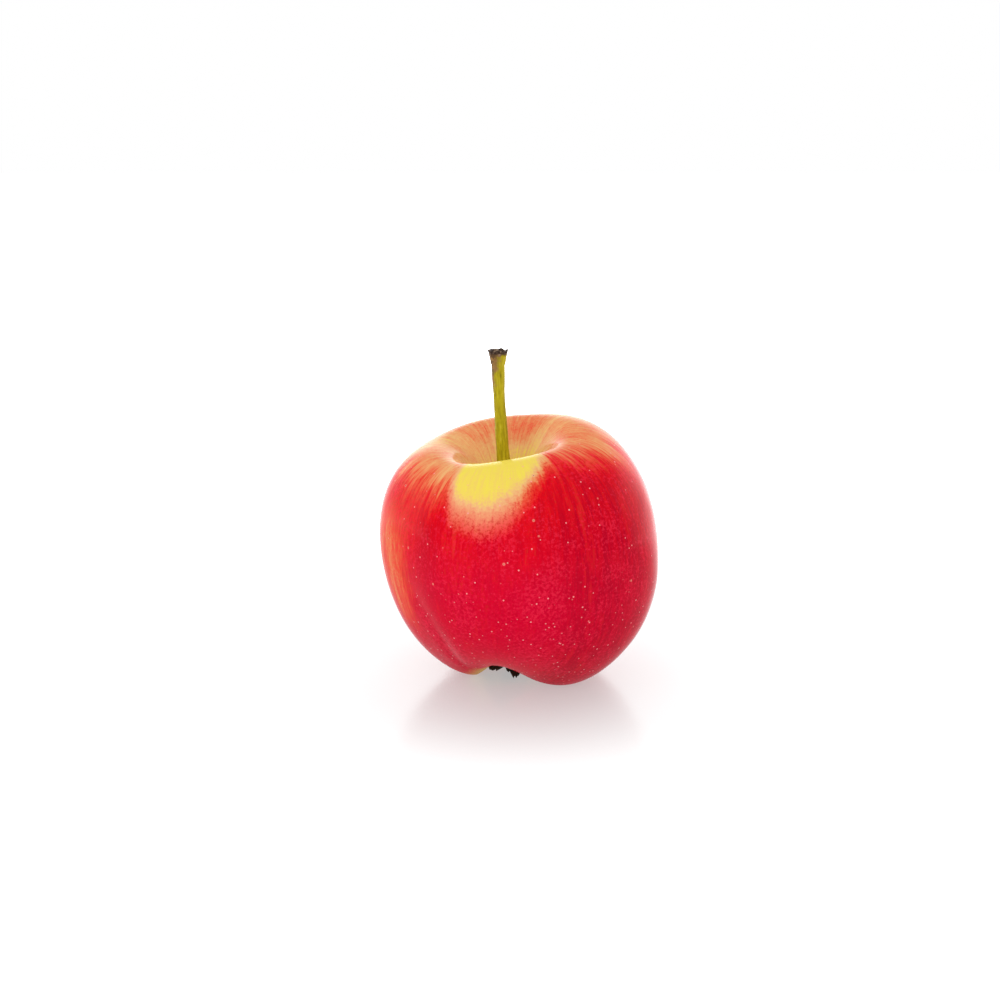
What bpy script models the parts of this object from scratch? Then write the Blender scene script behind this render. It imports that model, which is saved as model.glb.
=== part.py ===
"""A fresh eating apple at rest: the fruit, its stem, and the dried flower left in its eye.

Metres, +Z up. The origin is on the surface that the apple stands on, under the middle of the
fruit, and -Y is the apple's front. A bearing is an angle in degrees round the core's axis,
counted from +X and seen from above.

    blender --background --python part.py
"""

import math
from collections import namedtuple

import bmesh
import bpy

# The skin's outline, as radii from the core's axis and heights over the surface it stands on.
CREST_RADIUS = 0.0174  # the ring where the shoulders stand highest
CREST_HEIGHT = 0.0610
CHEEK_RADIUS = 0.0340  # the ring where the fruit is widest
CHEEK_HEIGHT = 0.0334
BASE_RADIUS = 0.0081  # the lowest ring, between the lobes
BASE_HEIGHT = 0.0020
CAVITY_DEPTH = 0.0150  # from the crest down to where the skin meets the stem
BASIN_DEPTH = 0.0085  # from the surface up to the rim of the eye
EYE_RADIUS = 0.0045
EYE_DEPTH = 0.0030

# How the fruit leans away from a round one: an amount, and the bearing where it is greatest.
CREST_LEAN = (0.0015, 98)
SHOULDER_LEAN = (0.0034, 32)
CHEEK_LEAN = (0.0035, 21)
CHEEK_DROP = (0.0037, 180)

# How full each stretch of the outline is: the pull of its two handles, from 0 to 1.
CAVITY_FULLNESS = (0.25, 0.55)
CAVITY_DISH = 0.15  # how much of its height the cavity has gained at its first handle
SHOULDER_FULLNESS = (0.41, 0.72)
FLANK_FULLNESS = (0.64, 0.70)
BASIN_FULLNESS = (0.45, 0.30)

# The five lobes. One at the front never filled out, so it leaves a notch over the surface.
# shoulder and spread are over CREST_HEIGHT and BASE_RADIUS, and foot is the lobe's lowest point.
Lobe = namedtuple("Lobe", "bearing shoulder spread foot")
LOBES = (
    Lobe(-25, -0.0009, 0.0074, 0.0),
    Lobe(30, 0.0007, 0.0074, 0.0),
    Lobe(110, 0.0007, 0.0065, 0.0),
    Lobe(184, 0.0009, 0.0, 0.0),
    Lobe(-99, 0.0005, 0.0007, 0.0059),
)
LOBE_SHARPNESS = 14
LOBE_SWELL = 0.0012  # how far a lobe stands out of the cheek
CREASE_BEARING = -145  # the crease beside the lobe that never filled out
CREASE_SHARPNESS = 30
CREASE_DEPTH = 0.0015
SETTLE = 0.0004  # how much of each foot is pressed flat by the fruit's weight

# The stem, a short woody stalk with a torn knob where it broke from the spur.
STEM_LENGTH = 0.0400
STEM_FOOT_RADIUS = 0.0018
STEM_WAIST_RADIUS = 0.00125
STEM_WAIST_AT = 0.62  # the share of the stem's length where it is thinnest
KNOB_RADIUS = 0.0023
KNOB_LENGTH = 0.0040
NECK_SHARE = 0.35  # how much of the knob's extra girth the stalk has before the knob begins
STEM_LEAN = -0.0021  # how far the knob leans along X
STEM_BEND = 1.3  # over 1, the stem starts upright and bends above its socket
SOCKET_DEPTH = 0.0025

# The dried flower: five sepals round a tuft of stamens.
SEPAL_WIDTH = 0.0036
SEPAL_THICKNESS = 0.0005
SEPAL_TIP_WIDTH = 0.0006
SEPAL_TAPER = 1.8  # the higher, the nearer the tip the blade starts to narrow
SEPAL_FLARE = 0.0014  # how far a tip stands out past the eye's rim
SEPAL_NIP = 0.0004  # how far a blade draws in before it flares
SEPAL_HANDLES = (0.55, 0.85)  # how far down its drop each handle of the blade's curve lies
SEPAL_BEARINGS = (-58, 14, 86, 158, 230)
SEPAL_TIP_HEIGHTS = (0.0009, 0.0022, 0.0014, 0.0018, 0.0026)
TUFT_RADIUS = 0.0026
TUFT_FOOT_RADIUS = 0.0017
TUFT_LENGTH = 0.0065
TUFT_RIDGES = 9
TUFT_GROOVE = 0.75  # the radius at a groove, as a share of the radius at a ridge

CLEARANCE = 0.0003  # between each piece and the one it sits in

# The mesh's rings along each stretch of the skin, from the stem down to the eye, and its meridians.
STRETCH_RINGS = (8, 10, 12, 7)
MERIDIANS = 64
STEM_RINGS = 14

for old in list(bpy.data.objects):
    bpy.data.objects.remove(old)

apple = bpy.data.collections.new("apple")
bpy.context.scene.collection.children.link(apple)
root = bpy.data.objects.new("apple_root", None)
apple.objects.link(root)


def lean(amount_and_bearing, bearing):
    """An amount that is greatest at its own bearing and as much below nothing opposite it."""
    amount, greatest_at = amount_and_bearing
    return amount * math.cos(math.radians(bearing - greatest_at))


def bump(bearing, centre, sharpness):
    """1 at the centre's bearing, falling smoothly to 0 away from it."""
    return (0.5 + 0.5 * math.cos(math.radians(bearing - centre))) ** sharpness


def cubic(ends_and_handles, t):
    """The point at t on a cubic curve in the half plane: (radius, height)."""
    weights = ((1 - t) ** 3, 3 * (1 - t) ** 2 * t, 3 * (1 - t) * t * t, t**3)
    return tuple(
        sum(w * point[axis] for w, point in zip(weights, ends_and_handles))
        for axis in (0, 1)
    )


def cavity_floor():
    return CREST_HEIGHT - CAVITY_DEPTH


def socket_radius():
    return STEM_FOOT_RADIUS + CLEARANCE


def skin_stretches(bearing):
    """The skin's outline at a bearing: cavity, shoulder, flank and basin, each a cubic curve."""
    crest_radius = CREST_RADIUS + lean(CREST_LEAN, bearing)
    crest_height = CREST_HEIGHT + lean(SHOULDER_LEAN, bearing)
    cheek_radius = CHEEK_RADIUS + lean(CHEEK_LEAN, bearing)
    cheek_height = CHEEK_HEIGHT + lean(CHEEK_DROP, bearing)
    base_radius = BASE_RADIUS
    base_height = BASE_HEIGHT
    for lobe in LOBES:
        share = bump(bearing, lobe.bearing, LOBE_SHARPNESS)
        foot = lobe.foot if lobe.foot else -SETTLE
        crest_height += share * lobe.shoulder
        cheek_radius += share * LOBE_SWELL
        base_radius += share * lobe.spread
        base_height += share * (foot - BASE_HEIGHT)
    cheek_radius -= CREASE_DEPTH * bump(bearing, CREASE_BEARING, CREASE_SHARPNESS)

    mouth = (socket_radius(), cavity_floor())
    crest = (crest_radius, crest_height)
    cheek = (cheek_radius, cheek_height)
    base = (base_radius, base_height)
    eye = (EYE_RADIUS, BASIN_DEPTH)
    rise = crest_height - cavity_floor()
    bowl = crest_radius - socket_radius()
    overhang = cheek_radius - crest_radius
    drop = crest_height - cheek_height
    flank = cheek_height - base_height
    tuck = cheek_radius - base_radius
    dish = base_radius - EYE_RADIUS
    return (
        (
            mouth,
            (mouth[0] + CAVITY_FULLNESS[0] * bowl, mouth[1] + CAVITY_DISH * rise),
            (crest_radius - CAVITY_FULLNESS[1] * bowl, crest_height),
            crest,
        ),
        (
            crest,
            (crest_radius + SHOULDER_FULLNESS[0] * overhang, crest_height),
            (cheek_radius, cheek_height + SHOULDER_FULLNESS[1] * drop),
            cheek,
        ),
        (
            cheek,
            (cheek_radius, cheek_height - FLANK_FULLNESS[0] * flank),
            (cheek_radius - FLANK_FULLNESS[1] * tuck, base_height),
            base,
        ),
        (
            base,
            (base_radius - BASIN_FULLNESS[0] * dish, base_height),
            (EYE_RADIUS + BASIN_FULLNESS[1] * dish, BASIN_DEPTH),
            eye,
        ),
    )


def fruit_point(ring, bearing):
    """The fruit's surface at a ring, counted down from the socket's floor, and a bearing."""
    last = sum(STRETCH_RINGS) + 3
    if ring == 0:
        radius, height = 0.0, cavity_floor() - SOCKET_DEPTH
    elif ring == 1:
        radius, height = socket_radius(), cavity_floor() - SOCKET_DEPTH
    elif ring == last - 1:
        radius, height = EYE_RADIUS, BASIN_DEPTH + EYE_DEPTH
    elif ring == last:
        radius, height = 0.0, BASIN_DEPTH + EYE_DEPTH
    else:
        along = ring - 2
        for stretch, rings in zip(skin_stretches(bearing), STRETCH_RINGS):
            if along <= rings:
                break
            along -= rings
        radius, height = cubic(stretch, along / rings)
    turn = math.radians(bearing)
    return radius * math.cos(turn), radius * math.sin(turn), max(height, 0.0)


def add_object(name, data, colour, roughness):
    """A new object in the apple's collection and under its root, with a material of its own."""
    obj = bpy.data.objects.new(name, data)
    material = bpy.data.materials.new(name)
    material.use_nodes = True
    shader = material.node_tree.nodes["Principled BSDF"]
    shader.inputs["Base Color"].default_value = (*colour, 1.0)
    shader.inputs["Roughness"].default_value = roughness
    data.materials.append(material)
    apple.objects.link(obj)
    obj.parent = root
    return obj


def mesh_from(bm, name):
    bmesh.ops.recalc_face_normals(bm, faces=bm.faces)
    mesh = bpy.data.meshes.new(name)
    bm.to_mesh(mesh)
    bm.free()
    mesh.shade_smooth()
    return mesh


def make_fruit():
    """A sphere whose rings are moved onto the skin, the stem's socket and the cup of the eye."""
    rings = sum(STRETCH_RINGS) + 3
    bm = bmesh.new()
    bmesh.ops.create_uvsphere(bm, u_segments=MERIDIANS, v_segments=rings, radius=1.0)
    for vertex in bm.verts:
        ring = round(math.acos(max(-1.0, min(1.0, vertex.co.z))) / math.pi * rings)
        bearing = math.degrees(math.atan2(vertex.co.y, vertex.co.x))
        vertex.co = fruit_point(ring, bearing)
    return add_object("fruit", mesh_from(bm, "fruit"), (0.55, 0.010, 0.030), 0.25)


def stem_radius(along):
    """The stalk narrows from its foot to a waist, then flares into the knob."""
    knob_from = 1 - KNOB_LENGTH / STEM_LENGTH
    if along < STEM_WAIST_AT:
        ease = 0.5 + 0.5 * math.cos(math.pi * along / STEM_WAIST_AT)
        return STEM_WAIST_RADIUS + (STEM_FOOT_RADIUS - STEM_WAIST_RADIUS) * ease
    ease = (along - STEM_WAIST_AT) / (1 - STEM_WAIST_AT)
    flare = max(0.0, (along - knob_from) / (1 - knob_from))
    neck = NECK_SHARE * ease**2 + (1 - NECK_SHARE) * math.sqrt(flare)
    return STEM_WAIST_RADIUS + (KNOB_RADIUS - STEM_WAIST_RADIUS) * neck


def make_stem():
    """A tapering rod that stands upright in its socket and then leans."""
    foot = cavity_floor() - SOCKET_DEPTH + CLEARANCE
    curve = bpy.data.curves.new("stem", "CURVE")
    curve.dimensions = "3D"
    curve.bevel_depth = 1.0
    curve.bevel_resolution = 4
    curve.use_fill_caps = True
    spline = curve.splines.new("POLY")
    spline.points.add(STEM_RINGS - 1)
    for number, point in enumerate(spline.points):
        along = number / (STEM_RINGS - 1)
        out = STEM_LEAN * math.sin(math.pi / 2 * along) ** STEM_BEND
        point.co = (out, 0.0, foot + STEM_LENGTH * along, 1.0)
        point.radius = stem_radius(along)
    return add_object("stem", curve, (0.30, 0.30, 0.03), 0.55)


def sepal_point(bearing, tip_height, across, along):
    """A blade that hangs down inside the eye and flares out at its tip; across runs from -1 to 1."""
    root = (
        EYE_RADIUS - CLEARANCE - SEPAL_THICKNESS / 2,
        BASIN_DEPTH + EYE_DEPTH - CLEARANCE,
    )
    tip = (EYE_RADIUS + SEPAL_FLARE, tip_height)
    hang = root[1] - tip_height
    down = (root[0], root[1] - SEPAL_HANDLES[0] * hang)
    inward = (root[0] - SEPAL_NIP, root[1] - SEPAL_HANDLES[1] * hang)
    radius, height = cubic((root, down, inward, tip), along)
    narrowing = 1 - (1 - SEPAL_TIP_WIDTH / SEPAL_WIDTH) * along**SEPAL_TAPER
    turn = math.radians(bearing) + across * SEPAL_WIDTH / 2 * narrowing / radius
    return radius * math.cos(turn), radius * math.sin(turn), height


def make_sepal(number, bearing, tip_height):
    """A flat grid bent to the blade's shape and given its thickness."""
    bm = bmesh.new()
    bmesh.ops.create_grid(bm, x_segments=4, y_segments=9, size=1.0)
    for vertex in bm.verts:
        across, along = vertex.co.x, (vertex.co.y + 1) / 2
        vertex.co = sepal_point(bearing, tip_height, across, along)
    name = f"sepal_{number}"
    sepal = add_object(name, mesh_from(bm, name), (0.045, 0.028, 0.018), 0.8)
    shell = sepal.modifiers.new("thickness", "SOLIDIFY")
    shell.thickness = SEPAL_THICKNESS
    shell.offset = 0.0
    return sepal


def make_stamens():
    """The dried tuft that hangs from the eye's floor: a ridged cone, wider at its free end."""
    top = BASIN_DEPTH + EYE_DEPTH - CLEARANCE
    bm = bmesh.new()
    bmesh.ops.create_cone(
        bm,
        cap_ends=True,
        segments=2 * TUFT_RIDGES,
        radius1=TUFT_RADIUS,
        radius2=TUFT_FOOT_RADIUS,
        depth=TUFT_LENGTH,
    )
    for vertex in bm.verts:
        side = round(math.atan2(vertex.co.y, vertex.co.x) / math.pi * TUFT_RIDGES)
        if side % 2:
            vertex.co.x *= TUFT_GROOVE
            vertex.co.y *= TUFT_GROOVE
        vertex.co.z += top - TUFT_LENGTH / 2
    return add_object("stamens", mesh_from(bm, "stamens"), (0.07, 0.04, 0.02), 0.9)


def centre_on_origin(fruit):
    """Moves the whole apple so that the middle of the fruit's box is over the origin."""
    for axis in (0, 1):
        places = [vertex.co[axis] for vertex in fruit.data.vertices]
        root.location[axis] = -(min(places) + max(places)) / 2


the_fruit = make_fruit()
make_stem()
for position, (sepal_bearing, tip) in enumerate(zip(SEPAL_BEARINGS, SEPAL_TIP_HEIGHTS), 1):
    make_sepal(position, sepal_bearing, tip)
make_stamens()
centre_on_origin(the_fruit)
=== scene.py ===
"""The looks of a fresh eating apple that stands on a pale table: its blushed skin, its green stem with a
torn knob, and the dried flower in its eye. Metres, +Z up, and -Y is the apple's front. A bearing is an
angle in degrees round the core, counted from +X and seen from above.
"""

import math

import bpy
import numpy as np
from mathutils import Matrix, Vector, noise


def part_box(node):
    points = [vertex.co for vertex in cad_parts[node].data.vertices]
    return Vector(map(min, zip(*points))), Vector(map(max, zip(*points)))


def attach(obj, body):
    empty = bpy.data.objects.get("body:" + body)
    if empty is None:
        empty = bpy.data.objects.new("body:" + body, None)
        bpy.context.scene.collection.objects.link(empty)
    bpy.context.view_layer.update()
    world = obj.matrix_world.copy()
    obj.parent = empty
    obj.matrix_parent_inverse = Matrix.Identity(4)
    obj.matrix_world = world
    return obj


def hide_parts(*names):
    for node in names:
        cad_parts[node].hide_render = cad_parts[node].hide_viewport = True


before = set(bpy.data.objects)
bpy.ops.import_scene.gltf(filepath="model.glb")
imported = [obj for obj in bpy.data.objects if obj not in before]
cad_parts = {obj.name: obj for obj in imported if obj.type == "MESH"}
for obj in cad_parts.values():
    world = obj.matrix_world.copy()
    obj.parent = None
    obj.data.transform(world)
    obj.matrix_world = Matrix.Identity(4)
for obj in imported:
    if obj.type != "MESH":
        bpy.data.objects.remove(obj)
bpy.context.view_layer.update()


# ---------------------------------------------------------------------------------------------------------
# The fruit: flesh grown round its core in five lobes, under one thin waxy skin. A sphere's rings are laid
# along the skin's outline, from the stem's socket over the shoulders and cheeks to the cup of the eye, and
# the skin then gets its slow swells, the furrows of its cavity and the pleats round its eye.

CREST_RADIUS, CREST_HEIGHT = 0.0174, 0.0610  # the ring where the shoulders stand highest
CHEEK_RADIUS, CHEEK_HEIGHT = 0.0340, 0.0334  # the widest ring
BASE_RADIUS, BASE_HEIGHT = 0.0081, 0.0020  # the lowest ring, between the lobes
CAVITY_FLOOR = CREST_HEIGHT - 0.0150
BASIN_DEPTH = 0.0085
EYE_RADIUS, EYE_DEPTH = 0.0045, 0.0030
SOCKET_RADIUS, SOCKET_DEPTH = 0.00188, 0.0025

# An amount that leans the fruit, and the bearing where it is greatest.
CREST_LEAN = (0.0015, 98)
SHOULDER_LEAN = (0.0034, 32)
CHEEK_LEAN = (0.0035, 21)
CHEEK_DROP = (0.0037, 180)

# How full each stretch of the outline is: how far its two handles reach towards its other end.
CAVITY_FULLNESS = (0.25, 0.55)
CAVITY_DISH = 0.15  # how much of its height the cavity has gained at its first handle
SHOULDER_FULLNESS = (0.41, 0.72)
FLANK_FULLNESS = (0.64, 0.70)
BASIN_FULLNESS = (0.45, 0.30)

# Each lobe: its bearing, how far its shoulder and its foot's ring stand out, and its lowest point.
LOBES = (
    (-25, -0.0009, 0.0074, -0.0004),
    (30, 0.0007, 0.0074, -0.0004),
    (110, 0.0007, 0.0065, -0.0004),
    (184, 0.0009, 0.0, -0.0004),
    (-99, 0.0005, 0.0007, 0.0059),
)
LOBE_SHARPNESS = 14
LOBE_SWELL = 0.0012  # how far a lobe stands out of the cheek
CREASE_BEARING = -145  # the crease beside the lobe that never filled out
CREASE_SHARPNESS = 30
CREASE_DEPTH = 0.0015

# The lower half of the crease is folded in, with a low rounded welt beside the fold. Its path is given by
# (share of the skin's length, bearing), and its widths are in degrees.
FOLD_PATH = ((0.40, -152), (0.53, -147), (0.625, -134), (0.71, -128), (0.83, -129), (0.95, -132))
FOLD_DEPTH, FOLD_WIDTH = 0.0008, 6.0
WELT_SHARE, WELT_ASIDE, WELT_WIDTH = 0.30, 14.0, 9.0

MERIDIANS = 256
STRETCH_RINGS = (46, 44, 70, 46)  # along the cavity, the shoulder, the flank and the basin
RINGS = sum(STRETCH_RINGS) + 3

SWELL, SWELL_PERIOD, DIMPLE_PERIOD = 0.00022, 0.017, 0.006  # slow unevenness of the whole skin
FURROW = 0.00016  # the cavity's radial furrows
PLEAT = 0.00035  # the basin's pleats round the eye


def lean(amount_and_bearing, bearing):
    amount, greatest_at = amount_and_bearing
    return amount * np.cos(np.radians(bearing - greatest_at))


def bump(bearing, centre, sharpness):
    """1 at the centre's bearing, falling smoothly to 0 away from it."""
    return (0.5 + 0.5 * np.cos(np.radians(bearing - centre))) ** sharpness


def skin_outline(bearing):
    """The skin at each bearing: four cubic stretches, each of four (radius, height) points."""
    crest = np.array([CREST_RADIUS + lean(CREST_LEAN, bearing), CREST_HEIGHT + lean(SHOULDER_LEAN, bearing)])
    cheek = np.array([CHEEK_RADIUS + lean(CHEEK_LEAN, bearing), CHEEK_HEIGHT + lean(CHEEK_DROP, bearing)])
    base = np.array([BASE_RADIUS + 0 * bearing, BASE_HEIGHT + 0 * bearing])
    for at, shoulder, spread, foot in LOBES:
        share = bump(bearing, at, LOBE_SHARPNESS)
        crest[1] += share * shoulder
        cheek[0] += share * LOBE_SWELL
        base += share * np.array([[spread], [foot - BASE_HEIGHT]])
    cheek[0] -= CREASE_DEPTH * bump(bearing, CREASE_BEARING, CREASE_SHARPNESS)
    mouth = np.array([SOCKET_RADIUS + 0 * bearing, CAVITY_FLOOR + 0 * bearing])
    eye = np.array([EYE_RADIUS + 0 * bearing, BASIN_DEPTH + 0 * bearing])

    def between(start, end, radius_share, height_share):
        """A point part of the way from start to end, by a share of each coordinate."""
        return start + np.array([[radius_share], [height_share]]) * (end - start)

    handles = (
        between(mouth, crest, CAVITY_FULLNESS[0], CAVITY_DISH),
        between(crest, mouth, CAVITY_FULLNESS[1], 0),
        between(crest, cheek, SHOULDER_FULLNESS[0], 0),
        between(cheek, crest, 0, SHOULDER_FULLNESS[1]),
        between(cheek, base, 0, FLANK_FULLNESS[0]),
        between(cheek, base, FLANK_FULLNESS[1], 1),
        between(base, eye, BASIN_FULLNESS[0], 0),
        between(eye, base, BASIN_FULLNESS[1], 0),
    )
    ends = (mouth, crest, cheek, base, eye)
    return [(ends[i], handles[2 * i], handles[2 * i + 1], ends[i + 1]) for i in range(4)]


def on_curve(points, t):
    """The place at t, from 0 to 1, on the cubic curve of four points."""
    weights = ((1 - t) ** 3, 3 * (1 - t) ** 2 * t, 3 * (1 - t) * t * t, t**3)
    return sum(weight * point for weight, point in zip(weights, points))


bpy.ops.object.select_all(action="DESELECT")
bpy.ops.mesh.primitive_uv_sphere_add(segments=MERIDIANS, ring_count=RINGS, radius=1.0)
fruit = bpy.context.object
fruit.name = "apple_fruit"

places = np.empty(len(fruit.data.vertices) * 3)
fruit.data.vertices.foreach_get("co", places)
places = places.reshape(-1, 3)
ring_of = np.rint(np.arccos(np.clip(places[:, 2], -1, 1)) / math.pi * RINGS).astype(int)
step_of = np.rint(np.arctan2(places[:, 1], places[:, 0]) / math.tau * MERIDIANS).astype(int) % MERIDIANS

bearings = np.arange(MERIDIANS) * 360 / MERIDIANS
profile = np.empty((RINGS + 1, 2, MERIDIANS))
profile[0] = [0 * bearings, 0 * bearings + CAVITY_FLOOR - SOCKET_DEPTH]
profile[1] = [0 * bearings + SOCKET_RADIUS, 0 * bearings + CAVITY_FLOOR - SOCKET_DEPTH]
ring = 2
for stretch, rings in zip(skin_outline(bearings), STRETCH_RINGS):
    for t in np.arange(rings) / rings:
        profile[ring] = on_curve(stretch, t)
        ring += 1
profile[RINGS - 1] = [0 * bearings + EYE_RADIUS, 0 * bearings + BASIN_DEPTH + EYE_DEPTH]
profile[RINGS] = [0 * bearings, 0 * bearings + BASIN_DEPTH + EYE_DEPTH]

# How far along the skin each ring lies: 0 where it meets the stem, 1 at the rim of the eye.
steps = np.linalg.norm(np.diff(profile[2 : RINGS - 1], axis=0), axis=1)
along = np.zeros((RINGS + 1, MERIDIANS))
along[3 : RINGS - 1] = np.cumsum(steps, axis=0) / steps.sum(axis=0)
along[RINGS - 1 :] = 1.02  # the inside of the eye lies past its rim
skin_along = along[ring_of, step_of]

turn = np.radians(bearings[step_of])
radius, height = profile[ring_of, 0, step_of], np.maximum(profile[ring_of, 1, step_of], 0)
grain = np.stack([np.cos(turn), np.sin(turn), skin_along], axis=1)


def uneven(points, period):
    """Smooth unevenness from -1 to 1 at each point, with swells about a period apart."""
    return np.array([noise.noise(Vector(point) / period) for point in points])


out = np.stack([np.cos(turn), np.sin(turn)], axis=1)
places = np.column_stack([radius[:, None] * out, height])
# The skin stays in place at the feet, round the stem and at the rim of the eye, and is free elsewhere.
free = np.clip(height / 0.006, 0, 1) * np.clip(skin_along / 0.03, 0, 1)
free *= np.clip((1 - skin_along) / 0.04, 0, 1)
swells = SWELL * uneven(places, SWELL_PERIOD) + SWELL / 4 * uneven(places, DIMPLE_PERIOD)
in_cavity = np.clip(1 - skin_along / 0.22, 0, 1)
furrows = FURROW * in_cavity * uneven(grain * [3.2, 3.2, 2.0], 1.0)
in_basin = np.clip((skin_along - 0.84) / 0.10, 0, 1)
pleats = PLEAT * in_basin * uneven(grain * [2.1, 2.1, 5.0] + 7, 1.0)
fold_at = np.interp(skin_along, *zip(*FOLD_PATH))
from_fold = (bearings[step_of] - fold_at + 180) % 360 - 180
fold_share = np.clip((skin_along - 0.45) / 0.32, 0, 1) ** 1.5 * np.clip((0.93 - skin_along) / 0.08, 0, 1)
fold = np.exp(-((from_fold / FOLD_WIDTH) ** 2))
fold -= WELT_SHARE * np.exp(-(((from_fold - WELT_ASIDE) / WELT_WIDTH) ** 2))
swells -= FOLD_DEPTH * fold * fold_share
places[:, :2] += (free * swells)[:, None] * out
places[:, 2] += free * (swells * np.clip(1 - radius / 0.030, 0, 1) + furrows + pleats)
places[:, 2] = np.maximum(places[:, 2], 0)

# The core's axis stands beside the middle of the fruit, so the skin is moved until its middle is over the
# middle of the frame's fruit, and everything on the axis moves with it.
low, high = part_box("fruit")
axis = Vector((0, 0, 0))
for side in (0, 1):
    axis[side] = (low[side] + high[side] - places[:, side].min() - places[:, side].max()) / 2
places += np.array(axis)
fruit.data.vertices.foreach_set("co", places.ravel())


def keep_grain(piece, directions_and_shares):
    """Stores each point's direction from the core and its share of the way along the piece."""
    layer = piece.data.attributes.new("grain", "FLOAT_VECTOR", "POINT")
    layer.data.foreach_set("vector", directions_and_shares.astype(np.float32).ravel())


def turn_faces_out():
    """Turns every face of the active piece outwards and leaves its edit mode."""
    bpy.ops.object.mode_set(mode="EDIT")
    bpy.ops.mesh.select_all(action="SELECT")
    bpy.ops.mesh.normals_make_consistent(inside=False)
    bpy.ops.object.mode_set(mode="OBJECT")


keep_grain(fruit, grain)
turn_faces_out()
bpy.ops.object.shade_smooth()


class Pattern:
    """What a node of a material gives out. Sums on it add Math nodes to that material."""

    def __init__(self, material, socket=None):
        self.material = material
        self.socket = socket

    def node(self, kind, settings, values, output=0):
        """Adds any node: its settings are made first, and then its sockets are filled or linked."""
        node = self.material.node_tree.nodes.new("ShaderNode" + kind)
        for name, setting in settings.items():
            if name == "stops":
                stops = node.color_ramp.elements
                while len(stops) < len(setting):
                    stops.new(0.5)
                for stop, (position, colour) in zip(stops, setting):
                    stop.position = position
                    stop.color = (*colour, 1)
            else:
                setattr(node, name, setting)
        for name, value in values.items():
            if isinstance(value, Pattern):
                self.material.node_tree.links.new(value.socket, node.inputs[name])
            elif isinstance(value, tuple) and node.inputs[name].type == "RGBA":
                node.inputs[name].default_value = (*value, 1)
            else:
                node.inputs[name].default_value = value
        return Pattern(self.material, node.outputs[output])

    def math(self, operation, *values):
        return self.node("Math", {"operation": operation}, dict(enumerate(values)))

    def __add__(self, other):
        return self.math("ADD", self, other)

    __radd__ = __add__

    def __sub__(self, other):
        return self.math("SUBTRACT", self, other)

    def __rsub__(self, other):
        return self.math("SUBTRACT", other, self)

    def __mul__(self, other):
        return self.math("MULTIPLY", self, other)

    __rmul__ = __mul__


def new_finish(name):
    """A new material, as a pattern that its other nodes grow from."""
    material = bpy.data.materials.new(name)
    material.use_nodes = True
    return Pattern(material)


def lay_on(finish, piece, values):
    """Fills the sockets of the finish's shader and puts the finish on a piece."""
    shader = finish.material.node_tree.nodes["Principled BSDF"]
    for name, value in values.items():
        if isinstance(value, Pattern):
            finish.material.node_tree.links.new(value.socket, shader.inputs[name])
        else:
            shader.inputs[name].default_value = value
    piece.data.materials.clear()
    piece.data.materials.append(finish.material)


def rise(value, low, high):
    """0 below low, 1 above high, and smooth between; it falls where low is over high."""
    settings = {"interpolation_type": "SMOOTHSTEP"}
    return value.node("MapRange", settings, {"Value": value, "From Min": low, "From Max": high})


def blend(share, first, second):
    """The first colour where the share is 0, and the second where it is 1."""
    return share.node("Mix", {"data_type": "RGBA"}, {0: share, 6: first, 7: second}, 2)


def mottle(finish, where, scale, detail=2.0, roughness=0.5):
    """Soft noise from 0 to 1 over the given places."""
    values = {"Vector": where, "Scale": scale, "Detail": detail, "Roughness": roughness}
    return finish.node("TexNoise", {}, values)


def stretched(where, scale):
    """The same places with each axis scaled by its own amount."""
    return where.node("VectorMath", {"operation": "MULTIPLY"}, {0: where, 1: scale})


def reach_along(where, direction):
    """How far each place lies in a direction."""
    return where.node("VectorMath", {"operation": "DOT_PRODUCT"}, {0: where, 1: direction}, "Value")


skin = new_finish("apple_skin")
solid_place = skin.node("TexCoord", {}, {}, "Object")
grain_place = skin.node("Attribute", {"attribute_name": "grain"}, {}, "Vector")


def towards(bearing):
    """1 at a bearing, 0 a quarter turn away and -1 opposite it."""
    direction = (math.cos(math.radians(bearing)), math.sin(math.radians(bearing)), 0)
    return reach_along(grain_place, direction)


down = reach_along(grain_place, (0, 0, 1))  # 0 where the skin meets the stem, 1 at the eye

# The blush follows the grain of the skin: broad flames, streaks and fine threads from stem to eye.
flames = mottle(skin, stretched(grain_place, (2.2, 2.2, 1.6)), 1.0, 2.0)
streaks = mottle(skin, stretched(grain_place, (9.0, 9.0, 3.2)), 1.0, 3.0, 0.6)
strands = mottle(skin, stretched(grain_place, (22.0, 22.0, 9.0)), 1.0, 3.0, 0.65)
threads = mottle(skin, stretched(grain_place, (46.0, 46.0, 22.0)), 1.0, 3.0, 0.7)
patches = mottle(skin, solid_place, 90.0, 3.0)
speckle = mottle(skin, solid_place, 1400.0, 3.0, 0.75)

# The red begins on the shoulders, nearer or further from the stem with the flames and the streaks.
onset = 0.285 + 0.16 * (flames - 0.5) + 0.14 * (streaks - 0.5)
onset = onset + 0.05 * (threads - 0.5) + 0.06 * (speckle - 0.5)
onset = onset - 0.060 * rise(towards(-52), 0.80, 0.97) + 0.012 * rise(towards(-138), 0.93, 0.985)
red = rise(down, onset - 0.075, onset + 0.075)

# A leaf shaded one tongue of the front shoulder, which stayed yellow.
sideways = towards(-7)
steep_side = skin.math("MAXIMUM", -0.30 - sideways, 0.0)
tongue_edge = 0.374 - 0.40 * (sideways + 0.08) * (sideways + 0.08) - 3.0 * steep_side * steep_side
tongue_edge = tongue_edge + 0.03 * (streaks - 0.5) + 0.08 * (speckle - 0.5) + 0.07 * (patches - 0.5)
tongue = rise(down, tongue_edge + 0.060, tongue_edge - 0.055) * rise(towards(-97), 0.62, 0.80)

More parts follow.
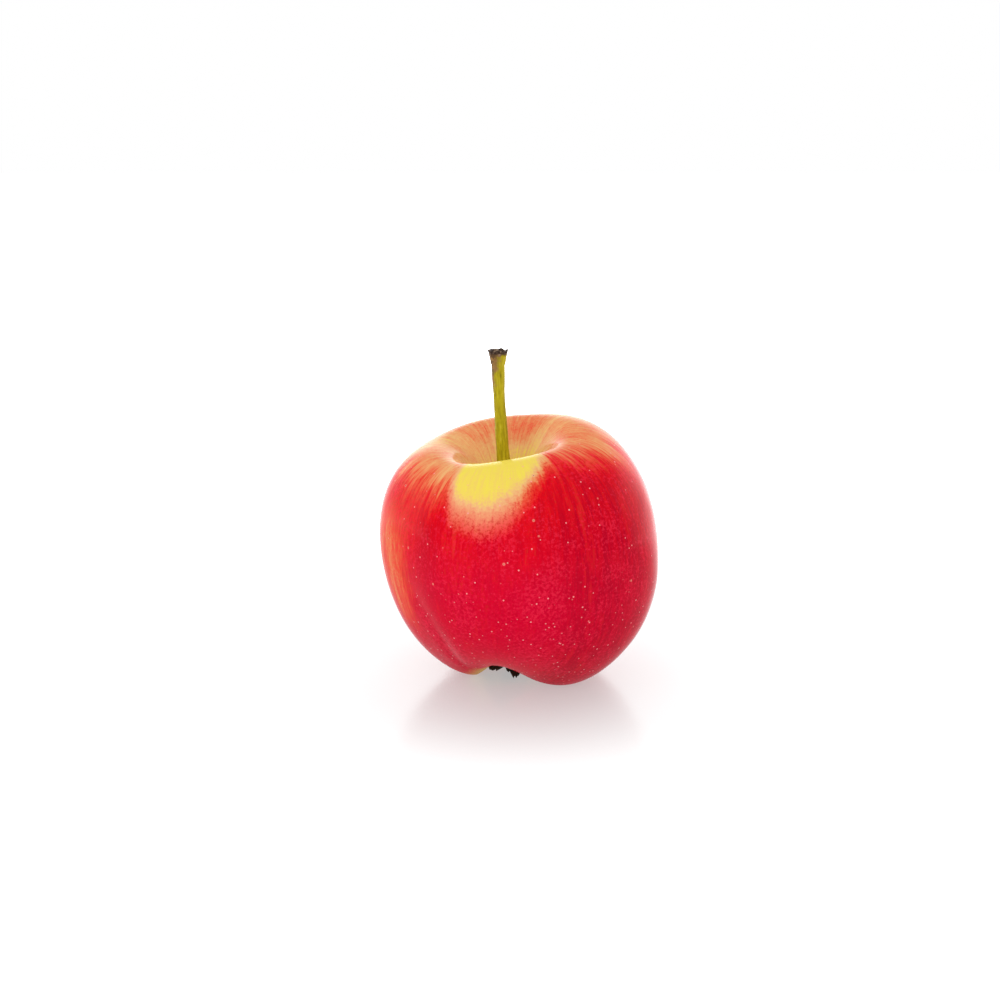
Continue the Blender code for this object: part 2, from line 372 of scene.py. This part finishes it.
# The cheek that faced away from the sun, at the left, is orange with red streaks.
shade_side = towards(176) + 0.22 * (flames - 0.5) + 0.24 * (streaks - 0.5) + 0.30 * (strands - 0.5)
shade_side = rise(shade_side, 0.62, 0.96) * rise(down + 0.10 * (streaks - 0.5), 0.28, 0.46)
shade_side = shade_side * rise(down + 0.15 * (flames - 0.5), 0.80, 0.56)
shade_side = shade_side * rise(streaks + 0.5 * flames, 1.15, 0.50)

# How deep the colour is: a mottled orange in the cavity, the full red below it, and thin lines of both
# where one turns into the other.
cavity = 0.07 + 0.24 * rise(down, 0.03, 0.17) + 0.22 * (streaks - 0.5)
cavity = cavity + 0.08 * (threads - 0.5) + 0.42 * (patches - 0.5)
cavity = cavity + 0.10 * rise(towards(74), 0.93, 0.99) * rise(down, 0.09, 0.14) + 0.14 * (strands - 0.5)
depth = 0.85 + 0.30 * (flames - 0.5) + 0.20 * (patches - 0.5) + 0.15 * (streaks - 0.5)
blush = cavity + red * (depth - cavity)
blush = blush * (1 - 0.96 * tongue) * (1 - 0.58 * shade_side)
blush = blush * (1 - 0.75 * rise(down, 0.90, 0.975))
turning = red * (1.04 - red) * (1 - 0.8 * tongue)
lines = rise(0.5 * strands + 0.5 * threads, 0.47, 0.55)
blush = blush + turning * (0.7 * (strands - 0.5) + 0.6 * (threads - 0.5) + 0.36 * (lines - 0.4))
above = rise(down, 0.55, 0.35)
uneven_tone = (0.10 + 0.20 * above) * (strands - 0.5) + 0.32 * (threads - 0.5) + 0.32 * (speckle - 0.5)
blush = blush + (1 - 0.7 * tongue) * uneven_tone

# From yellow over orange to crimson. The lower half is cooler, the front right cheek is the darkest, partly
# from painted shade and partly from its real dark streaks, and a milky haze edges the tongue.
SKIN_COLOURS = [
    (0.00, (0.87, 0.70, 0.090)),
    (0.20, (0.84, 0.48, 0.19)),
    (0.38, (0.82, 0.25, 0.10)),
    (0.56, (0.80, 0.075, 0.035)),
    (0.80, (0.76, 0.003, 0.010)),
    (1.00, (0.50, 0.001, 0.010)),
]
colour = skin.node("ValToRGB", {"stops": SKIN_COLOURS}, {"Fac": blush})
crimson = rise(down, 0.36, 0.60) * rise(blush, 0.55, 0.85) * (0.45 + 0.5 * patches)
colour = blend(crimson, colour, (0.62, 0.001, 0.034))
# Painted shade: the front right flank is darkened as if turned away from the light, and more deeply along
# the real dark streaks there.
right_flank_shade_and_streaks = rise(towards(-42), 0.84, 0.98) * rise(down, 0.22, 0.42) * rise(blush, 0.50, 0.80)
right_flank_shade_and_streaks = right_flank_shade_and_streaks * (0.34 + 0.40 * lines)
colour = blend(right_flank_shade_and_streaks, colour, (0.42, 0.001, 0.018))
haze = tongue * (1 - tongue) * rise(towards(-106), 0.90, 0.985) * 1.4
colour = blend(haze, colour, (0.90, 0.36, 0.24))

# Pale and dark flecks under the wax.
flecks = rise(speckle + 0.4 * (patches - 0.5), 0.50, 0.66)
colour = blend(0.44 * flecks * rise(blush, 0.3, 0.7), colour, (0.92, 0.028, 0.072))
grains = rise(speckle + 0.3 * (strands - 0.5), 0.50, 0.36)
colour = blend(0.34 * grains * rise(blush, 0.35, 0.75), colour, (0.42, 0.000, 0.012))


def pores(scale, size):
    """Round dots with a soft edge, where the skin passes near the centres of cells of that scale."""
    cells = {"Vector": solid_place, "Scale": scale, "Randomness": 1.0}
    return rise(skin.node("TexVoronoi", {}, cells), size, size * 0.45)


# The lenticels are small pale pores, closer together near the eye. A few are larger, with a dark
# middle.
lenticels = skin.math("MAXIMUM", pores(400.0, 0.105), pores(520.0, 0.135) * rise(down, 0.46, 0.72))
lenticels = lenticels * rise(down, 0.14, 0.24)
colour = blend(0.85 * lenticels, colour, (0.97, 0.36, 0.36))
colour = blend(0.50 * pores(150.0, 0.070), colour, (0.90, 0.40, 0.30))
colour = blend(0.80 * pores(150.0, 0.034), colour, (0.16, 0.050, 0.020))

# Near the eye the skin turns greenish yellow.
greening = down + 0.07 * rise(towards(-143), 0.82, 0.99) + 0.05 * (streaks - 0.5) + 0.06 * (patches - 0.5)
colour = blend(rise(greening, 0.92, 1.00) * 0.85, colour, (0.66, 0.54, 0.12))

relief = 0.5 * patches + 0.06 * speckle + 0.25 * lenticels + 0.10 * threads
skin_bump = skin.node("Bump", {}, {"Strength": 1.0, "Distance": 0.00012, "Height": relief})
lay_on(skin, fruit, {
    "Base Color": colour,
    "Roughness": 0.33 + 0.14 * (patches - 0.5) + 0.20 * lenticels,
    "Normal": skin_bump,
    "IOR": 1.0,
    "Coat Weight": 1 - 0.6 * rise(down, 0.74, 0.90),
    "Coat IOR": 1.09,
    "Coat Roughness": 0.11,
})
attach(fruit, "root")
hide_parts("fruit")


# ---------------------------------------------------------------------------------------------------------
# The stem: a short woody stalk that grew from the spur and broke off at its knob. It stands in the fruit's
# socket, is ridged along its length, thins to a waist and flares into a torn, hollow end.

STEM_LENGTH = 0.0400
STEM_FOOT_RADIUS, STEM_WAIST_RADIUS, KNOB_RADIUS = 0.0018, 0.0014, 0.00215
STEM_WAIST_AT = 0.62  # the share of its length where it is thinnest
KNOB_LENGTH = 0.0040
NECK_SHARE = 0.35  # how much of the knob's extra girth the stalk has before the knob begins
STEM_LEAN, STEM_BEND = -0.0021, 1.3  # how far the knob leans along X, and how late the bend begins
STEM_SIDES, STEM_RINGS = 40, 90
STEM_RIDGE, STEM_SWELL = 0.00009, 0.00010
TORN_FROM, TORN_HEIGHT = 0.90, 0.0005  # the share of its length above which it is torn, and how far
HOLLOW_DEPTH = 0.0009
LIP_DEPTH = 0.0003  # the hollow's rounded lip


def stem_radius(share):
    """The stalk narrows from its foot to its waist, then flares into the knob."""
    if share < STEM_WAIST_AT:
        ease = 0.5 + 0.5 * math.cos(math.pi * share / STEM_WAIST_AT)
        return STEM_WAIST_RADIUS + (STEM_FOOT_RADIUS - STEM_WAIST_RADIUS) * ease
    ease = (share - STEM_WAIST_AT) / (1 - STEM_WAIST_AT)
    flare = max(0.0, (share * STEM_LENGTH - STEM_LENGTH + KNOB_LENGTH) / KNOB_LENGTH)
    neck = NECK_SHARE * ease**2 + (1 - NECK_SHARE) * math.sqrt(flare)
    return STEM_WAIST_RADIUS + (KNOB_RADIUS - STEM_WAIST_RADIUS) * neck


stem_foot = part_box("stem")[0].z
bpy.ops.object.select_all(action="DESELECT")
bpy.ops.mesh.primitive_circle_add(vertices=STEM_SIDES, radius=stem_radius(0), fill_type="NGON")
stem = bpy.context.object
stem.name = "apple_stem"
bpy.ops.object.mode_set(mode="EDIT")
for number in range(STEM_RINGS):
    wider = stem_radius((number + 1) / STEM_RINGS) / stem_radius(number / STEM_RINGS)
    lift = {"value": (0, 0, STEM_LENGTH / STEM_RINGS)}
    bpy.ops.mesh.extrude_region_move(TRANSFORM_OT_translate=lift)
    bpy.ops.transform.resize(value=(wider, wider, 1))
bpy.ops.mesh.inset(thickness=0.00035)
bpy.ops.mesh.inset(thickness=0.0003, depth=-LIP_DEPTH)
bpy.ops.mesh.inset(thickness=0.0003, depth=LIP_DEPTH - HOLLOW_DEPTH)
bpy.ops.mesh.inset(thickness=0.0004, depth=-0.0001)
bpy.ops.mesh.inset(thickness=0.0004)
turn_faces_out()

stem_grain = np.empty((len(stem.data.vertices), 3))
for number, vertex in enumerate(stem.data.vertices):
    share = vertex.co.z / STEM_LENGTH
    reach = math.hypot(vertex.co.x, vertex.co.y)
    side = Vector((vertex.co.x, vertex.co.y, 0)) / max(reach, 1e-6)
    stem_grain[number] = (side.x, side.y, share)
    ridge = noise.noise(Vector((side.x * 2.6, side.y * 2.6, share * 5)))
    ridge += 0.4 * noise.noise(Vector((side.x * 6, side.y * 6, share * 30)))
    torn = max(0.0, (share - TORN_FROM) / (1 - TORN_FROM)) ** 2
    swell = STEM_SWELL * noise.noise(Vector((3, 1, share * 9))) * min(share * 8, 1)
    ragged = noise.noise(Vector((side.x * 2.2 + 5, side.y * 2.2, share * 9)))
    vertex.co += side * (STEM_RIDGE * (ridge + 0.9) * (1 + 3 * torn) + swell) * min(reach / 0.001, 1)
    vertex.co.z += TORN_HEIGHT * torn * (ragged - 0.5) * min(reach / 0.0012, 1)
    share = min(max(share, 0), 1)
    bend = STEM_LEAN * math.sin(math.pi / 2 * share) ** STEM_BEND
    vertex.co += axis + Vector((bend, 0, stem_foot))
keep_grain(stem, stem_grain)
bpy.ops.object.shade_smooth()

bark = new_finish("stem_bark")
bark_place = bark.node("TexCoord", {}, {}, "Object")
bark_grain = bark.node("Attribute", {"attribute_name": "grain"}, {}, "Vector")
up = reach_along(bark_grain, (0, 0, 1))
left = reach_along(bark_grain, (-1, 0, 0))
fibres = mottle(bark, stretched(bark_grain, (3.0, 3.0, 9.0)), 1.0, 4.0, 0.6)
crumbs = mottle(bark, bark_place, 900.0, 3.0, 0.6)
green = bark.node("ValToRGB", {"stops": [
    (0.25, (0.17, 0.135, 0.003)),
    (0.45, (0.40, 0.325, 0.005)),
    (0.62, (0.52, 0.44, 0.012)),
    (0.80, (0.62, 0.52, 0.10)),
]}, {"Fac": fibres + 0.25 * (crumbs - 0.5)})

# Below the knob it is rusty and cracked, and the torn end is dark with paler splinters.
rusty = rise(up + 0.15 * left + 0.60 * (crumbs - 0.5), 0.82, 1.00) * 0.85
green = blend(rusty, green, (0.26, 0.12, 0.055))
green = blend(rusty * rise(crumbs, 0.50, 0.42), green, (0.07, 0.035, 0.018))
torn_end = rise(up + 0.05 * (crumbs - 0.5), 0.955, 0.985)
stem_colour = blend(torn_end, green, (0.035, 0.018, 0.012))
stem_colour = blend(torn_end * rise(crumbs, 0.50, 0.64) * 0.75, stem_colour, (0.34, 0.23, 0.15))
lay_on(bark, stem, {
    "Base Color": stem_colour,
    "Roughness": 0.50 + 0.25 * fibres,
    "IOR": 1.25,
    "Normal": bark.node("Bump", {}, {"Distance": 0.00012, "Height": fibres + 0.5 * crumbs}),
})
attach(stem, "root")
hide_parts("stem")


# ---------------------------------------------------------------------------------------------------------
# The sepals: the five leaves of the dead flower, dried dark brown. Each hangs from the floor of the eye,
# curls out past its rim and is creased along its midrib, as thin as paper.

SEPAL_THICKNESS = 0.00034
# Each one's bearing, how far its tip is turned, its tip's height and reach past the rim, and its width.
SEPALS = (
    (-58, -14, 0.0016, 0.0030, 0.0056),
    (14, 5, 0.0022, 0.0014, 0.0042),
    (86, -6, 0.0014, 0.0014, 0.0042),
    (158, 4, 0.0018, 0.0014, 0.0042),
    (230, 5, 0.0025, 0.0020, 0.0072),
)
CLEARANCE = 0.0003  # under the floor of the eye
SEPAL_CUP, SEPAL_WRINKLE = 0.00045, 0.00030  # how far its edges curl in, and its unevenness

dry = new_finish("dried_flower")
dry_place = dry.node("TexCoord", {}, {}, "Object")
veins = mottle(dry, stretched(dry_place, (1.0, 1.0, 0.35)), 2600.0, 4.0, 0.65)
blotches = mottle(dry, dry_place, 500.0, 2.0)
dry_colour = dry.node("ValToRGB", {"stops": [
    (0.30, (0.006, 0.004, 0.003)),
    (0.58, (0.024, 0.013, 0.008)),
    (0.80, (0.110, 0.062, 0.034)),
]}, {"Fac": 0.7 * veins + 0.4 * blotches - 0.05})
dry_values = {
    "Base Color": dry_colour,
    "Roughness": 0.70 + 0.25 * veins,
    "Normal": dry.node("Bump", {}, {"Distance": 0.0001, "Height": veins}),
}

for number, (bearing, tip_turn, tip_height, tip_reach, width) in enumerate(SEPALS, 1):
    bpy.ops.object.select_all(action="DESELECT")
    bpy.ops.mesh.primitive_grid_add(x_subdivisions=12, y_subdivisions=30, size=2)
    sepal = bpy.context.object
    sepal.name = f"apple_sepal_{number}"
    root = np.array([EYE_RADIUS - CLEARANCE - 0.00025, BASIN_DEPTH + EYE_DEPTH - CLEARANCE])
    tip = np.array([EYE_RADIUS + tip_reach, tip_height])
    drop = np.array([0, root[1] - tip_height])
    midrib = (root, root - 0.55 * drop, root - 0.80 * drop, tip)
    for vertex in sepal.data.vertices:
        across, down_blade = vertex.co.x, (vertex.co.y + 1) / 2
        torn = 0.13 * noise.noise(Vector((across * 4.0, number * 3.0, 0.5)))
        t = down_blade * (1 - 0.16 * abs(across) ** 1.5 + torn * down_blade)
        distance, level = on_curve(midrib, t)
        breadth = 0.60 + 0.40 * math.sin(math.pi / 2 * min(t / 0.6, 1))
        breadth -= 0.35 * max(0.0, (t - 0.6) / 0.4) ** 2
        wrinkle = noise.noise(Vector((across * 1.5, t * 3.0, number * 5.0)))
        distance -= (SEPAL_CUP * abs(across) + SEPAL_WRINKLE * wrinkle) * t
        spread = width / 2 * breadth * (1 + 0.15 * wrinkle)
        turn_to = math.radians(bearing + tip_turn * t * t) + across * spread / distance
        vertex.co = axis + Vector((distance * math.cos(turn_to), distance * math.sin(turn_to), level))
    wall = sepal.modifiers.new("thickness", "SOLIDIFY")
    wall.thickness = SEPAL_THICKNESS
    wall.offset = 0
    bpy.ops.object.modifier_apply(modifier=wall.name)
    turn_faces_out()
    bpy.ops.object.shade_smooth_by_angle(angle=math.radians(50))
    lay_on(dry, sepal, dry_values)
    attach(sepal, "root")
    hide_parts(f"sepal_{number}")


# ---------------------------------------------------------------------------------------------------------
# The stamens: the dried threads of the flower and the five styles in their middle, which hang as one tuft
# from the floor of the eye.

STAMENS, STYLES = 20, 5
TUFT_LENGTH, TUFT_RADIUS, TUFT_FOOT_RADIUS = 0.0065, 0.0026, 0.0017
CUSHION_RADIUS, CUSHION_HEIGHT = 0.0011, 0.0016  # the small cushion that the threads grow from
STAMEN_THICKNESS, STYLE_THICKNESS, TIP_THICKENING = 0.00014, 0.00022, 1.9
tuft_top = BASIN_DEPTH + EYE_DEPTH - CLEARANCE

bpy.ops.object.select_all(action="DESELECT")
bpy.ops.mesh.primitive_cone_add(
    vertices=18, radius1=CUSHION_RADIUS, radius2=TUFT_FOOT_RADIUS, depth=CUSHION_HEIGHT,
    location=(axis.x, axis.y, tuft_top - CUSHION_HEIGHT / 2),
)
threads_made = [bpy.context.object]
for number in range(STAMENS + STYLES):
    style = number >= STAMENS
    share = (number % STAMENS + 0.5) / (STYLES if style else STAMENS)
    turn_to = math.tau * share + 0.2 * math.sin(number * 4.7)
    start = 0.0004 if style else TUFT_FOOT_RADIUS * (0.62 + 0.22 * math.sin(number * 2.9))
    finish_at = 0.0006 if style else TUFT_RADIUS * (0.74 + 0.22 * math.sin(number * 3.7))
    length = TUFT_LENGTH * (0.80 + 0.18 * math.sin(number * 5.1))
    thickness = STYLE_THICKNESS if style else STAMEN_THICKNESS
    bpy.ops.mesh.primitive_cylinder_add(vertices=6, radius=thickness, depth=1, end_fill_type="TRIFAN")
    thread = bpy.context.object
    bpy.ops.object.mode_set(mode="EDIT")
    bpy.ops.mesh.select_all(action="SELECT")
    bpy.ops.mesh.bisect(plane_co=(0, 0, 0), plane_no=(0, 0, 1))
    bpy.ops.object.mode_set(mode="OBJECT")
    bpy.ops.object.select_all(action="DESELECT")
    thread.select_set(True)
    for vertex in thread.data.vertices:
        t = 0.5 - vertex.co.z
        fat = TIP_THICKENING if t > 0.95 else 1.0
        distance = start + (finish_at - start) * t + 0.0003 * math.sin(t * 3.1 + number)
        spot = Vector((distance * math.cos(turn_to + 0.3 * t), distance * math.sin(turn_to + 0.3 * t), 0))
        level = tuft_top - 0.0003 - length * t
        vertex.co = axis + spot + Vector((vertex.co.x * fat, vertex.co.y * fat, level))
    threads_made.append(thread)
bpy.ops.object.select_all(action="DESELECT")
for thread in threads_made:
    thread.select_set(True)
bpy.context.view_layer.objects.active = threads_made[0]
bpy.ops.object.join()
stamens = bpy.context.object
stamens.name = "apple_stamens"
bpy.ops.object.transform_apply(location=True, rotation=True, scale=True)
turn_faces_out()
bpy.ops.object.shade_smooth_by_angle(angle=math.radians(50))
lay_on(dry, stamens, {})
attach(stamens, "root")
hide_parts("stamens")


# ---------------------------------------------------------------------------------------------------------
# The table and the studio: a wide glossy white sheet whose glow is painted light, as if lit from below,
# dimmer close round the apple and brightest far behind it, a white room with a bright band low behind it, a
# wide soft light from the front, and the camera.

bpy.ops.mesh.primitive_plane_add(size=8.0, location=(0, 0, 0))
table = bpy.context.object
table.name = "table"
sheet = new_finish("white_sheet")
sheet_place = sheet.node("TexCoord", {}, {}, "Object")
# Painted shade: close round the apple the sheet glows less and its coat reflects more, so it is darker
# wherever the apple hides what the coat would reflect.
away = sheet.node("VectorMath", {"operation": "LENGTH"}, {0: sheet_place}, "Value")
away = rise(away, 0.022, 0.074)
behind = reach_along(sheet_place, (0, 1, 0))
# Painted light: far behind the apple the sheet glows brightly, and its glow lights the apple's rims.
far_glow = blend(rise(behind, 0.06, 0.18), (0.82, 0.82, 0.82), (2.8, 2.8, 2.8))
lay_on(sheet, table, {
    "Base Color": (0.34, 0.345, 0.345, 1),
    "Roughness": 0.9,
    "IOR": 1.0,
    "Coat Weight": 1 - 0.95 * away,
    "Coat IOR": 1.36,
    "Coat Roughness": 0.22,
    "Emission Color": blend(away, (0.46, 0.46, 0.46), far_glow),
    "Emission Strength": 1.0,
})

world = bpy.data.worlds.new("studio")
bpy.context.scene.world = world
world.use_nodes = True
air = Pattern(world)
where_to = air.node("TexCoord", {}, {}, "Generated")
upward = air.node("SeparateXYZ", {}, {0: where_to}, "Z")
backward = air.node("SeparateXYZ", {}, {0: where_to}, "Y")
mirrored = air.node("LightPath", {}, {}, "Is Glossy Ray")
band = rise(backward, 0.0, 0.35) * rise(upward, 0.62, 0.30) * (0.8 + 0.2 * rise(upward, 0.0, 0.24))
glow = 0.40 + 0.45 * rise(upward, 0.25, 0.85) + (1.1 + 1.9 * mirrored) * band
seen = air.node("LightPath", {}, {}, "Is Camera Ray")
strength = glow + seen * (1.0 - glow)
sky = world.node_tree.nodes["Background"]
sky.inputs["Color"].default_value = (1, 1, 1, 1)
world.node_tree.links.new(strength.socket, sky.inputs["Strength"])

bpy.ops.object.light_add(type="SUN", rotation=(math.radians(48), 0, math.radians(-14)))
fill = bpy.context.object
fill.data.energy = 1.05
fill.data.angle = math.radians(70)
fill.visible_glossy = False

bpy.ops.object.camera_add(location=(-0.00484, -0.33597, 0.13551), rotation=(math.radians(75), 0, 0))
camera = bpy.context.object
camera.data.lens = 50
camera.data.sensor_width = 36
bpy.context.scene.camera = camera
bpy.context.scene.view_settings.view_transform = "Standard"
